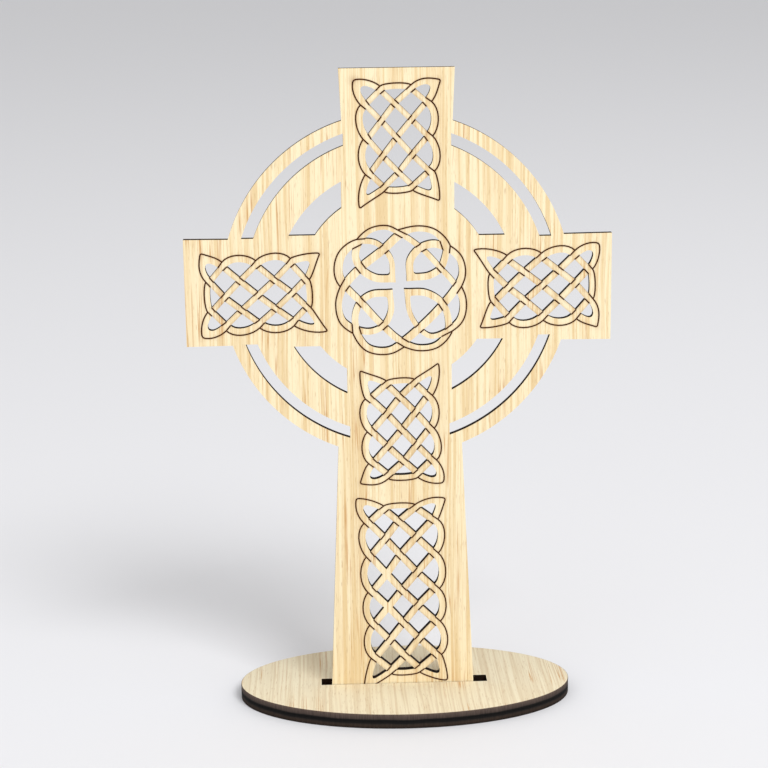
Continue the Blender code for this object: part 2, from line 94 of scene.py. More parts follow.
# Knotwork
TOP_STRAND = 2.05 * MM
LEFT_STRAND = 2.1 * MM
RIGHT_STRAND = 2.35 * MM
LOWER_STRAND = 2.3 * MM
LONG_STRAND = 2.5 * MM
SIDE_BAND = 2.6 * MM
END_BAND = 2.15 * MM
EAR_ROUND = 2.5 * MM
TIP_ROUND = 0.9 * MM
ROSE_LOBE = 2.3 * MM
PETAL_ROUND = 1.2 * MM
ROSE_RADIUS = 24.5 * MM
ROSE_CENTRE = complex(1.2, 0.6) * MM
CURVE_STEPS = 9

# Plain wood left round the knotwork panels, and how far each sits off its arm's middle line
ROSE_TO_TOP_PANEL = 6.8 * MM
ROSE_TO_LEFT_PANEL = 2.7 * MM
ROSE_TO_RIGHT_PANEL = 3.9 * MM
ROSE_TO_LOWER_PANEL = 4.2 * MM
TOP_PANEL_MARGIN = 4.4 * MM
LEFT_PANEL_MARGIN = 6.1 * MM
RIGHT_PANEL_MARGIN = 4.9 * MM
LOWER_PANEL_LENGTH = 47.7 * MM
LONG_PANEL_GAP = 5.8 * MM
LONG_PANEL_FOOT = 2.8 * MM
TOP_PANEL_SIDE = 3.85 * MM
ARM_PANEL_SIDE = 3.4 * MM
STEM_PANEL_SIDE = 7.15 * MM
TOP_PANEL_ASIDE = 0.5 * MM
LEFT_PANEL_ASIDE = -0.5 * MM

# Slot for the foot
SLOT_GAP = 0.3 * MM
SLOT_DEPTH = 6.5 * MM
SLOT_LEFT_ROOM = 4.0 * MM
SLOT_RIGHT_ROOM = 5.3 * MM

# Short plait, as shares: columns and ears of half the width, rows and ears of the length
SHORT_ROWS = (0.167, 0.278, 0.412, 0.551, 0.686, 0.817, 0.925)
SHORT_COLUMNS = (-0.618, -0.331, 0.015, 0.305, 0.685)
SHORT_LEAN = (-0.0198, -0.0105, -0.0186, -0.0038, -0.0126)
SHORT_EARS = {
    (-1, 0): ((-0.875, 0.0), (0.18, -0.069, 0.097), (0.10, 0.20, 0.056)),
    (1, 0): ((0.893, 0.051), (0.06, 0.027, 0.090), (0.12, -0.188, 0.032)),
    (-1, 1): ((-0.976, 1.0), (0.13, -0.067, -0.081), (0.15, 0.20, 0.021)),
    (1, 1): ((0.933, 0.995), (0.17, -0.061, -0.059), (0.29, -0.205, 0.014)),
}

# Long plait, in the same shares, and the crossings whose scored lines were left out
LONG_ROWS = (0.104, 0.174, 0.262, 0.349, 0.437, 0.521, 0.609, 0.705, 0.792, 0.878, 0.944)
LONG_COLUMNS = (-0.614, -0.265, 0.082, 0.402, 0.810)
LONG_LEAN = (-0.0145, -0.0133, -0.0158, -0.0074, -0.0088)
LONG_EARS = {
    (-1, 0): ((-0.905, 0.0), (0.10, -0.016, 0.046), (0.07, 0.197, 0.018)),
    (1, 0): ((1.052, 0.044), (0.04, 0.004, 0.053), (0.09, -0.135, -0.009)),
    (-1, 1): ((-1.024, 1.0), (0.10, -0.065, -0.068), (0.11, 0.212, 0.004)),
    (1, 1): ((1.024, 0.992), (0.04, -0.066, -0.049), (0.12, -0.288, 0.019)),
}
LONG_UNSCORED = ((-1, 6), (-1, 4))
PLAIT_TILT = 0.034
SIDE_BOW = 0.34
END_BOW = 0.16

# Width of the centre knot's strands in each quarter, where a strand leaves its petal, runs straight, and
# closes the petal opposite: upper right, upper left, lower left and lower right
ROSE_LEAVING = (2.75 * MM, 2.75 * MM, 2.25 * MM, 2.5 * MM)
ROSE_STRAIGHT = (2.0 * MM, 3.0 * MM, 2.5 * MM, 2.85 * MM)
ROSE_CLOSING = (2.5 * MM, 1.95 * MM, 2.5 * MM, 1.85 * MM)

# Stops of the centre knot's strands as shares of its radius, in the upper right, upper left, lower left
# and lower right quarters
ROSE_TIP = (0.131 + 0.165j, -0.139 + 0.153j, -0.186 - 0.071j, 0.078 - 0.065j)
ROSE_PETAL_A = (0.139 + 0.445j, -0.416 + 0.173j, -0.176 - 0.371j, 0.376 - 0.082j)
ROSE_CROSS_1 = (0.298 + 0.629j, -0.637 + 0.329j, -0.296 - 0.592j, 0.639 - 0.265j)
ROSE_TOP = (0.494 + 0.686j, -0.710 + 0.498j, -0.498 - 0.676j, 0.718 - 0.498j)
ROSE_CROSS_3 = (0.690 + 0.624j, -0.653 + 0.735j, -0.714 - 0.637j, 0.718 - 0.678j)
ROSE_LOBE_1 = (0.882 + 0.465j, -0.482 + 0.918j, -0.918 - 0.498j, 0.543 - 0.906j)
ROSE_LOBE_2 = (0.931 + 0.192j, -0.210 + 0.963j, -0.980 - 0.241j, 0.237 - 0.951j)
ROSE_CROSS_4 = (0.849 + 0.006j, -0.004 + 0.849j, -0.878 + 0.063j, 0.006 - 0.853j)
ROSE_CROSS_2 = (0.604 + 0.302j, -0.269 + 0.618j, -0.641 - 0.204j, 0.265 - 0.641j)
ROSE_LOBE_3 = (0.153 + 0.918j, -0.947 + 0.204j, -0.184 - 0.971j, 0.935 - 0.178j)
ROSE_LOBE_4 = (0.510 + 0.873j, -0.902 + 0.543j, -0.533 - 0.931j, 0.890 - 0.527j)
ROSE_PETAL_C = (0.661 + 0.433j, -0.400 + 0.718j, -0.722 - 0.384j, 0.424 - 0.763j)
ROSE_PETAL_B = (0.457 + 0.204j, -0.173 + 0.478j, -0.498 - 0.100j, 0.131 - 0.418j)

# Points of the plate's face: their steps along the scored lines, and how far those beside a line and those
# of the grid stay from a line's edge and from a cut
LINE_STEP = 1.2 * MM
BROWNING_STEP = 0.9 * MM
BROWNING_ASIDE = 0.38 * MM
ASIDE_CLEARANCE = 0.25 * MM, 0.3 * MM
GRID_CLEARANCE = 0.7 * MM, 0.5 * MM

# Share of a scored line's half width past which its groove ends, and the merging distance of the sheet
GROOVE_END = 0.97
MERGE_DISTANCE = 1e-9

# Steps between the points searched for the nearest scored line and the nearest cut, and finer for browning
SCORE_SEARCH_STEP = 0.04 * MM
CUT_SEARCH_STEP = 0.3 * MM
FINE_SEARCH_STEP = 0.15 * MM

# A face is a wall where its normal leans less than this out of the plate
WALL_LEAN = 0.2

# Browning as shares of full char: beside a scored line, and beside a cut on the back, where it goes further
LINE_BROWNING = 0.3
BACK_BROWNING = 0.7
BACK_REACH = 5

# Browning at the ears' tips, where the beam turned back: a row for each panel, from the top to the long one
BLOT_REACH = 1.6 * MM
TIP_BLOTS = (
    0.02, 0.05, 0.30, 0.08,
    0.03, 0.08, 0.05, 0.03,
    0.10, 0.05, 0.04, 0.10,
    0.03, 0.10, 0.05, 0.10,
    0.03, 0.03, 0.05, 0.05,
)

# From a lobe's middle line to its outer scored line, at its start, middle and end, clockwise from the top
ROSE_RIMS = (
    (1.95 * MM, 0.95 * MM, 1.70 * MM),
    (1.40 * MM, 1.27 * MM, 1.65 * MM),
    (1.75 * MM, 1.30 * MM, 1.00 * MM),
    (1.50 * MM, 0.90 * MM, 1.50 * MM),
    (1.90 * MM, 1.38 * MM, 1.80 * MM),
    (1.95 * MM, 1.25 * MM, 1.50 * MM),
    (1.80 * MM, 2.05 * MM, 1.20 * MM),
    (1.30 * MM, 0.50 * MM, 0.75 * MM),
)

# How far the grain lines sway from side to side
GRAIN_SWING = (2.0 * MM, 0.0, 0.0)

# Camera, at the height and side from which the ornament is seen, and the point that the lights face
CAMERA_PLACE = (-29.54 * MM, -711.37 * MM, 296.96 * MM)
CAMERA_TURN = (76.5994, 0.6921, -2.0682)
CAMERA_LENS = 88.78
LIGHT_AIM = (0.0, 0.0, 120.0 * MM)


def srgb(hex_colour):
    """The three shares of an sRGB colour such as "d8b37a"."""
    return tuple(int(hex_colour[index:index + 2], 16) / 255 for index in (0, 2, 4))


def linear(colour):
    """An sRGB colour, in hex or as three shares, as linear light."""
    shares = srgb(colour) if isinstance(colour, str) else colour
    return tuple(c / 12.92 if c <= 0.04045 else ((c + 0.055) / 1.055) ** 2.4 for c in shares) + (1.0,)


class CrossLooks(bpy.types.PropertyGroup):
    score_width: FloatProperty(
        name="Scored line", description="Width of the burnt lines along the strands",
        default=0.54 * MM, min=0.05 * MM, unit="LENGTH",
    )
    score_depth: FloatProperty(
        name="Scored depth", description="Depth of the burnt lines",
        default=0.22 * MM, min=0.0, unit="LENGTH",
    )
    grid_step: FloatProperty(
        name="Face points", description="Distance between the points that carry the browning",
        default=1.15 * MM, min=0.5 * MM, unit="LENGTH",
    )
    scorch_reach: FloatProperty(
        name="Scorch reach", description="How far the browning goes from a burnt line",
        default=0.2 * MM, min=0.05 * MM, unit="LENGTH",
    )
    pale: FloatVectorProperty(
        name="Pale wood", description="The early wood of the cross's face veneer",
        default=srgb("f0e0bb"), min=0.0, max=1.0, subtype="COLOR_GAMMA",
    )
    warm: FloatVectorProperty(
        name="Warm wood", description="The late wood that streaks the cross's face",
        default=srgb("dbbe8b"), min=0.0, max=1.0, subtype="COLOR_GAMMA",
    )


class BaseLooks(bpy.types.PropertyGroup):
    points: IntProperty(name="Rim points", description="Points round the oval", default=192, min=48)
    soft_edge: FloatProperty(
        name="Soft edge", description="Width of the rounding on the boards' edges",
        default=0.16 * MM, min=0.0, unit="LENGTH",
    )
    seam: FloatProperty(
        name="Seam", description="Gap left between the two boards",
        default=0.05 * MM, min=0.0, unit="LENGTH",
    )
    pale: FloatVectorProperty(
        name="Pale wood", description="The early wood of the base's face veneer",
        default=srgb("e9ddbf"), min=0.0, max=1.0, subtype="COLOR_GAMMA",
    )
    warm: FloatVectorProperty(
        name="Warm wood", description="The late wood that streaks the base",
        default=srgb("d6c3a2"), min=0.0, max=1.0, subtype="COLOR_GAMMA",
    )


class StageLooks(bpy.types.PropertyGroup):
    floor_size: FloatProperty(
        name="Floor", description="Side of the square floor", default=24.0, min=1.0, unit="LENGTH",
    )
    floor_colour: FloatVectorProperty(
        name="Floor colour", description="Colour of the matt floor",
        default=srgb("e8e8eb"), min=0.0, max=1.0, subtype="COLOR_GAMMA",
    )


def unit(vector):
    return vector / abs(vector)


def cross(first, second):
    return (first.conjugate() * second).imag


def bezier(start, first, second, end, steps):
    """Points of a cubic curve."""
    points = []
    for index in range(steps + 1):
        t = index / steps
        s = 1 - t
        points.append(start * s ** 3 + 3 * first * s * s * t + 3 * second * s * t * t + end * t ** 3)
    return points


def smooth(points, steps):
    """A smooth curve through the points."""
    gaps = [abs(after - before) for before, after in zip(points, points[1:])]
    runs = [(after - before) / gap for before, after, gap in zip(points, points[1:], gaps)]
    ways = [runs[0]]
    for before, after, gap, next_gap in zip(runs, runs[1:], gaps, gaps[1:]):
        ways.append((before * next_gap + after * gap) / (gap + next_gap))
    ways.append(runs[-1])
    curve = [points[0]]
    for index, gap in enumerate(gaps):
        reach = gap / 3
        first = points[index] + ways[index] * reach
        second = points[index + 1] - ways[index + 1] * reach
        curve += bezier(points[index], first, second, points[index + 1], steps)[1:]
    return curve


def beside(path, distance):
    """The path moved to its left."""
    runs = [unit(after - before) for before, after in zip(path, path[1:])]
    moved = [path[0] + 1j * runs[0] * distance]
    for before, after, point in zip(runs, runs[1:], path[1:-1]):
        half_way = unit(before + after)
        moved.append(point + 1j * half_way * distance / (half_way * before.conjugate()).real)
    moved.append(path[-1] + 1j * runs[-1] * distance)
    return moved


def eased_beside(path, distances, lead):
    """The path moved to its left by its distances at the start, middle and end.

    The distance stays even over lead points at each end.
    """
    start, middle, end = distances
    moved = []
    for index, (point, aside) in enumerate(zip(path, beside(path, MM))):
        t = min(1.0, max(0.0, (index - lead) / (len(path) - 1 - 2 * lead)))
        distance = start * (1 - t) * (1 - 2 * t) + 4 * middle * t * (1 - t) + end * t * (2 * t - 1)
        moved.append(point + (aside - point) * distance / MM)
    return moved


def stretched(path, reach):
    """The path with both ends drawn out."""
    start = path[0] + unit(path[0] - path[1]) * reach
    end = path[-1] + unit(path[-1] - path[-2]) * reach
    return [start] + path[1:-1] + [end]


def meeting(start, end, other_start, other_end):
    """Where two segments cross, or None."""
    run = end - start
    other = other_end - other_start
    area = cross(run, other)
    if area == 0:
        return None
    along = cross(other_start - start, other) / area
    along_other = cross(other_start - start, run) / area
    if 0 <= along <= 1 and 0 <= along_other <= 1:
        return start + run * along
    return None


def first_meeting(path, other):
    """The crossing of two paths that lies last on the first and first on the second."""
    for index in range(len(path) - 2, -1, -1):
        for place in range(len(other) - 1):
            point = meeting(path[index], path[index + 1], other[place], other[place + 1])
            if point is not None:
                return index, place, point
    raise ValueError("two sides of a cut do not meet")


def cut_between(sides, rounding=0.0):
    """Outline of the cut between strands and its corners: sides are (centre line, inset), cut on their left.

    The corner between the last side and the one before it is rounded.
    """
    reach = 2 * max(inset for _, inset in sides)
    lines = [stretched(beside(path, inset), reach) for path, inset in sides]
    meets = [first_meeting(line, lines[(index + 1) % len(lines)]) for index, line in enumerate(lines)]
    outline = []
    for index, line in enumerate(lines):
        outline.append(meets[index - 1][2])
        corner = len(outline) - 1
        outline += line[meets[index - 1][1] + 1:meets[index][0] + 1]
    corners = [meet[2] for meet in meets]
    return (rounded_corner(outline, corner, rounding) if rounding else outline), corners


def walked(outline, corner, step, reach):
    """A point on the outline at a distance from a corner, and the number of points passed."""
    here = outline[corner]
    passed = 0
    while True:
        ahead = outline[(corner + step * (passed + 1)) % len(outline)]
        if abs(ahead - here) > reach:
            return here + unit(ahead - here) * reach, passed
        reach -= abs(ahead - here)
        here = ahead
        passed += 1


def rounded_corner(outline, corner, reach, steps=6):
    """The outline with one corner cut back by reach along both sides and bent round."""
    point = outline[corner]
    back, passed_back = walked(outline, corner, -1, reach)
    fore, passed_fore = walked(outline, corner, 1, reach)
    bend = []
    for index in range(steps + 1):
        t = index / steps
        bend.append(back * (1 - t) ** 2 + 2 * point * t * (1 - t) + fore * t * t)
    kept = len(outline) - 1 - passed_back - passed_fore
    return bend + [outline[(corner + 1 + passed_fore + index) % len(outline)] for index in range(kept)]


def rounded_tip(path, tip, reach, steps=4):
    """The open path with one of its points bent round."""
    back, passed_back = walked(path, tip, -1, reach)
    fore, passed_fore = walked(path, tip, 1, reach)
    bend = bezier(back, (back + 2 * path[tip]) / 3, (fore + 2 * path[tip]) / 3, fore, steps)
    return path[:tip - passed_back] + bend + path[tip + 1 + passed_fore:]


def crossing_scores(point, over, under, corners):
    """The two edges of the upper strand where it passes over the lower one.

    They join the corners of the four cuts round the crossing, two on each side of the upper strand.
    """
    nearest = {}
    for corner in corners:
        offset = corner - point
        along = cross(offset, under) / cross(over, under)
        aside = cross(over, offset) / cross(over, under)
        quarter = along > 0, aside > 0
        if quarter not in nearest or abs(offset) < abs(nearest[quarter] - point):
            nearest[quarter] = corner
    return [[nearest[False, side], nearest[True, side]] for side in (False, True)]


class Plait:
    """A panel of plaited strands two cells wide, with a pointed ear at each corner.

    Strands cross at columns -2 to 2. Even rows have columns -1 and 1, odd rows -2, 0 and 2.
    """

    def __init__(self, rows, columns, lean, ears, half_width, length, strand):
        self.strand = strand
        self.half_width = half_width
        self.length = length
        self.last = len(rows) - 1
        self.ears = ears
        self.crossings = {}
        for row, share in enumerate(rows):
            for column in (-1, 1) if row % 2 == 0 else (-2, 0, 2):
                across = (columns[column + 2] + lean[column + 2] * row) * half_width
                self.crossings[column, row] = complex(across, share * length + PLAIT_TILT * across)
        self.rim = self.make_rim()

    def notch(self, column, row):
        """Where the outer edges of two strands cross on the rim, with the ways they go on."""
        here = self.crossings[column, row]
        if abs(column) == 2:
            first = unit(here - self.crossings[column // 2, row - 1])
            second = unit(here - self.crossings[column // 2, row + 1])
            half_band = SIDE_BAND / 2
        else:
            inner_row = 1 if row == 0 else row - 1
            first = unit(here - self.crossings[2 * column, inner_row])
            second = unit(here - self.crossings[0, inner_row])
            half_band = END_BAND / 2
        side = 1j if cross(first, second) > 0 else -1j
        edge = here + side * first * half_band
        other_edge = here - side * second * half_band
        point = edge + first * cross(other_edge - edge, second) / cross(first, second)
        return point, first, second

    def lobe(self, start, way_out, end, way_in, bow):
        reach = abs(end - start) * bow
        return bezier(start, start + way_out * reach, end + way_in * reach, end, CURVE_STEPS)

    def ear_sides(self, column, end):
        """An ear's two outer edges: from the side notch to the tip, and from there to the end notch."""
        tip_share, side_pull, end_pull = self.ears[column, end]
        tip = self.sized(*tip_share)
        side_row = self.last - 1 if end else 1
        side_notch, up, down = self.notch(2 * column, side_row)
        end_notch, _, outwards = self.notch(column, self.last * end)
        side_way = (up if end else down) * side_pull[0] * self.half_width
        side_end = tip + self.sized(*side_pull[1:])
        end_start = tip + self.sized(*end_pull[1:])
        end_way = outwards * end_pull[0] * self.half_width
        side = bezier(side_notch, side_notch + side_way, side_end, tip, CURVE_STEPS)
        return side, bezier(tip, end_start, end_notch + end_way, end_notch, CURVE_STEPS)

    def sized(self, across, up):
        """A place or way given in shares of the panel's half width and length."""
        return complex(across * self.half_width, up * self.length)

    def make_rim(self):
        """The panel's outer edges, each running anticlockwise round it except the ears' own."""
        rim = {}
        for end, name in ((0, "bottom"), (self.last, "top")):
            sides = (-1, 1) if end == 0 else (1, -1)
            start, way_out, _ = self.notch(sides[0], end)
            finish, way_in, _ = self.notch(sides[1], end)
            rim[name] = self.lobe(start, way_out, finish, way_in, END_BOW)
        for row in range(2, self.last - 1, 2):
            for column, name in ((-2, "left"), (2, "right")):
                lower, up, _ = self.notch(column, row - 1)
                upper, _, down = self.notch(column, row + 1)
                lobe = self.lobe(lower, up, upper, down, SIDE_BOW)
                rim[name, row] = lobe if name == "right" else lobe[::-1]
        for column, end in self.ears:
            rim["ear side", column, end], rim["ear end", column, end] = self.ear_sides(column, end)
        return rim

    def strands(self, *stops):
        """Sides of a cut that follow the strands through the crossings."""
        points = [self.crossings[stop] for stop in stops]
        return [([before, after], self.strand / 2) for before, after in zip(points, points[1:])]

    def cuts(self):
        """Outlines and corners of all the cuts in the panel."""
        cuts = []
        for row in range(1, self.last, 2):
            for column in (-1, 1):
                left = column - 1, row
                right = column + 1, row
                sides = self.strands(left, (column, row - 1), right, (column, row + 1), left)
                cuts.append(cut_between(sides))
        for row in range(2, self.last - 1, 2):
            cuts.append(cut_between(self.strands((-1, row), (0, row - 1), (1, row), (0, row + 1), (-1, row))))
            left = self.strands((-2, row - 1), (-1, row), (-2, row + 1))
            cuts.append(cut_between(left + [(self.rim["left", row], SIDE_BAND)]))
            right = self.strands((2, row + 1), (1, row), (2, row - 1))
            cuts.append(cut_between(right + [(self.rim["right", row], SIDE_BAND)]))
        bottom = self.strands((1, 0), (0, 1), (-1, 0))
        cuts.append(cut_between(bottom + [(self.rim["bottom"], END_BAND)]))
        top = self.strands((-1, self.last), (0, self.last - 1), (1, self.last))
        cuts.append(cut_between(top + [(self.rim["top"], END_BAND)]))
        return cuts + [self.ear_cut(column, end) for column, end in self.ears]

    def ear_cut(self, column, end):
        side = self.rim["ear side", column, end]
        across = self.rim["ear end", column, end]
        end_stop = (column, self.last * end)
        side_stop = (2 * column, self.last - 1 if end else 1)
        if (column < 0) == (end == 0):
            sides = self.strands(end_stop, side_stop) + [(side, SIDE_BAND), (across, END_BAND)]
        else:
            sides = self.strands(side_stop, end_stop) + [(across[::-1], END_BAND), (side[::-1], SIDE_BAND)]
        return cut_between(sides, EAR_ROUND)

    def way(self, column, row, lean):
        """The way in which the strand that rises to the right (lean 1) or left (-1) runs at a crossing."""
        ahead = self.crossings.get((column + lean, row + 1))
        behind = self.crossings.get((column - lean, row - 1))
        here = self.crossings[column, row]
        return unit((here if ahead is None else ahead) - (here if behind is None else behind))

    def scores(self, cuts, unscored=()):
        """The rim, and the upper strand's edges at every crossing but the unscored ones."""
        corners = [corner for _, cut_corners in cuts for corner in cut_corners]
        for column, row in self.crossings:
            if abs(column) == 2 or row in (0, self.last):
                corners.append(self.notch(column, row)[0])
        lines = [line for name, line in self.rim.items() if name[0] not in ("ear side", "ear end")]
        for column, end in self.ears:
            side = self.rim["ear side", column, end]
            lines.append(rounded_tip(side + self.rim["ear end", column, end][1:], len(side) - 1, TIP_ROUND))
        for (column, row), point in self.crossings.items():
            if (column, row) in unscored:
                continue
            rising = self.way(column, row, 1)
            falling = self.way(column, row, -1)
            over, under = (rising, falling) if row % 2 == 0 else (falling, rising)
            lines += crossing_scores(point, over, under, corners)
        return lines

    def ear_tips(self):
        return [self.rim["ear side", column, end][-1] for column, end in self.ears]


class Rose:
    """The round centre knot: four strands, each from petal tip to petal tip."""

    # Stops on a strand, as numbers of its points
    TIP, CROSS_1, CROSS_3, CROSS_4 = 0, 2, 4, 7
    NEXT_1, NEXT_2, NEXT_4 = 8, 9, 10
    LAST_3, LAST_2, LAST_TIP = 13, 15, 17

    # Sides of the cuts as (strand, stop, stop): strand 0 starts in the quarter, 1 crosses it and 2 ends in it
    QUARTER_CUTS = (
        (((1, NEXT_2, NEXT_1), (0, CROSS_1, TIP), (2, LAST_TIP, LAST_2)), PETAL_ROUND),
        (((0, CROSS_3, CROSS_1), (1, NEXT_1, NEXT_2), (2, LAST_2, LAST_3)), 0.0),
        (((0, CROSS_1, CROSS_3), (2, LAST_3, NEXT_4), (1, CROSS_4, NEXT_1)), 0.0),
        (((0, CROSS_4, CROSS_3), (2, LAST_3, LAST_2), (1, NEXT_2, NEXT_4)), 0.0),
    )
    MIDDLE_SIDES = ((2, LAST_2, LAST_TIP), (0, TIP, CROSS_1), (1, NEXT_1, CROSS_4), (2, NEXT_4, NEXT_2))

    # Crossings of a quarter as upper and lower strand, with the stop of each
    CROSSINGS = (
        ((0, CROSS_1), (1, NEXT_1)),
        ((1, NEXT_2), (2, LAST_2)),
        ((2, LAST_3), (0, CROSS_3)),
        ((0, CROSS_4), (1, NEXT_4)),
    )

    def __init__(self):
        self.paths = [self.strand(quarter) for quarter in range(4)]

    def strand(self, quarter):
        """The strand that starts at the quarter's petal, crosses the next and ends in the one opposite."""
        own = (ROSE_TIP, ROSE_PETAL_A, ROSE_CROSS_1, ROSE_TOP, ROSE_CROSS_3)
        own += (ROSE_LOBE_1, ROSE_LOBE_2, ROSE_CROSS_4)
        straight = (ROSE_CROSS_1, ROSE_CROSS_2, ROSE_CROSS_4)
        closing = (ROSE_LOBE_3, ROSE_LOBE_4, ROSE_CROSS_3, ROSE_PETAL_C, ROSE_CROSS_2, ROSE_PETAL_B, ROSE_TIP)
        points = [stop[quarter] for stop in own]
        points += [stop[(quarter - 1) % 4] for stop in straight]
        points += [stop[(quarter + 2) % 4] for stop in closing]
        return [ROSE_CENTRE + point * ROSE_RADIUS for point in smooth(points, CURVE_STEPS)]

    def part(self, quarter, first, last):
        """The stretch of a strand between two stops, backwards where the first is the later one."""
        path = self.paths[quarter % 4]
        low, high = sorted((first, last))
        stretch = path[low * CURVE_STEPS:high * CURVE_STEPS + 1]
        if high <= self.CROSS_3:
            width = ROSE_LEAVING[quarter % 4]
        elif low >= self.LAST_3:
            width = ROSE_CLOSING[(quarter + 2) % 4]
        elif self.CROSS_4 <= low < high <= self.NEXT_4:
            width = ROSE_STRAIGHT[(quarter - 1) % 4]
        else:
            width = ROSE_LOBE
        return (stretch if first < last else stretch[::-1]), width / 2

    def cuts(self):
        """Outlines and corners of the four cuts in each quarter, and of the one in the middle."""
        cuts = []
        middle = []
        for quarter in range(4):
            for sides, rounding in self.QUARTER_CUTS:
                parts = [self.part(quarter + strand, first, last) for strand, first, last in sides]
                cuts.append(cut_between(parts, rounding))
            middle += [self.part(quarter + strand, first, last) for strand, first, last in self.MIDDLE_SIDES]
        return cuts + [cut_between(middle)]

    def way(self, quarter, stop):
        path = self.paths[quarter % 4]
        place = stop * CURVE_STEPS
        return unit(path[place + 1] - path[place - 1])

    def rim(self):
        """The outer edges of the eight lobes, clockwise from the first quarter's upper lobe."""
        lobes = []
        for quarter in (0, -1, -2, -3):
            lobes.append(self.part(quarter + 2, self.NEXT_4 - 1, self.LAST_3 + 1)[0])
            lobes.append(self.part(quarter, self.CROSS_3 - 1, self.CROSS_4 + 1)[0])
        edges = [eased_beside(lobe, widths, CURVE_STEPS) for lobe, widths in zip(lobes, ROSE_RIMS)]
        notches = [first_meeting(edge, edges[(index + 1) % len(edges)]) for index, edge in enumerate(edges)]
        lines = []
        for index, edge in enumerate(edges):
            start = notches[index - 1]
            end = notches[index]
            lines.append([start[2]] + edge[start[1] + 1:end[0] + 1] + [end[2]])
        return lines

    def scores(self, cuts):
        """The rim, and the upper strand's edges at every crossing."""
        lines = self.rim()
        corners = [corner for _, cut_corners in cuts for corner in cut_corners]
        corners += [line[0] for line in lines]
        for quarter in range(4):
            for (upper, stop), (lower, lower_stop) in self.CROSSINGS:
                point = self.paths[(quarter + upper) % 4][stop * CURVE_STEPS]
                over = self.way(quarter + upper, stop)
                under = self.way(quarter + lower, lower_stop)
                lines += crossing_scores(point, over, under, corners)
        return lines


def arc(centre, radius, start, end):
    """Points of an arc between two of its points, the short way round."""
    first = math.atan2((start - centre).imag, (start - centre).real)
    turn = math.remainder(math.atan2((end - centre).imag, (end - centre).real) - first, math.tau)
    steps = max(2, round(abs(turn) / ARC_STEP))
    points = []
    for index in range(steps + 1):
        angle = first + turn * index / steps
        points.append(centre + radius * complex(math.cos(angle), math.sin(angle)))
    return points


def off_circle(start, end, centre, radius):
    """Where the line through two points, followed from the first to the second, leaves a circle."""
    run = unit(end - start)
    along = ((centre - start) * run.conjugate()).real
    aside = abs(start + run * along - centre)
    return start + run * (along + math.sqrt(radius ** 2 - aside ** 2))


def foot_height():
    """Height of the foot's lower edge from the middle of the cross: negative, as it lies below it."""
    return CROSS_BOX[0].z - MIDDLE_HEIGHT


def plate_outline():
    """Outer outline of the cross and its ring, anticlockwise from the foot's right corner."""
    arms = (
        (1, ARM_HALF_ROOT, ARM_HALF_END, ARM_REACH),
        (1j, TOP_HALF_ROOT, TOP_HALF_END, TOP_REACH),
        (-1, ARM_HALF_ROOT, ARM_HALF_END, ARM_REACH),
        (-1j, STEM_HALF_ROOT, STEM_HALF_FOOT, -foot_height()),
    )
    sides = []
    for turn, root_half, end_half, reach in arms:
        for side in (-1, 1):
            root = complex(RING_RADIUS, side * root_half)
            sides.append((turn * root, turn * complex(reach, side * end_half)))
    sides = sides[-1:] + sides[:-1]
    roots = [off_circle(root, end, RING_CENTRE, RING_RADIUS) for root, end in sides]
    outline = []
    for index in range(0, len(sides), 2):
        outline.append(sides[index][1])
        outline += arc(RING_CENTRE, RING_RADIUS, roots[index], roots[index + 1])
        outline.append(sides[index + 1][1])
    return outline


def ring_cuts():
    """The slot and the opening in each quarter of the ring."""
    slot_outer = RING_RADIUS - RIM_WALL
    slot_inner = slot_outer - RIM_SLOT
    opening_outer = slot_inner - RING_BAND
    opening_inner = opening_outer - RING_OPENING
    cuts = []
    for side in (-1, 1):
        for up in (-1, 1):
            post_half = TOP_HALF_ROOT if up > 0 else STEM_HALF_ROOT
            post_ends = TOP_ENDS if up > 0 else STEM_ENDS
            arm_ends = ARM_UPPER_ENDS if up > 0 else ARM_LOWER_ENDS
            rows = ((slot_outer, slot_inner), (opening_outer, opening_inner))
            for row, (outer, inner) in enumerate(rows):
                across = side * (post_half + post_ends[side][row])
                height = up * (ARM_HALF_ROOT + arm_ends[side][row])
                cuts.append(ring_cut(outer, inner, across, height, side, up))
    return cuts


def ring_cut(outer, inner, across, height, side, up):
    """One cut between two arcs, ending on an upright line and on a level one."""
    corners = []
    for radius in (outer, inner):
        rise = math.sqrt(radius ** 2 - (across - RING_CENTRE.real) ** 2)
        reach = math.sqrt(radius ** 2 - (height - RING_CENTRE.imag) ** 2)
        corners.append(complex(across, RING_CENTRE.imag + up * rise))
        corners.append(complex(RING_CENTRE.real + side * reach, height))
    return arc(RING_CENTRE, outer, corners[0], corners[1]) + arc(RING_CENTRE, inner, corners[3], corners[2])


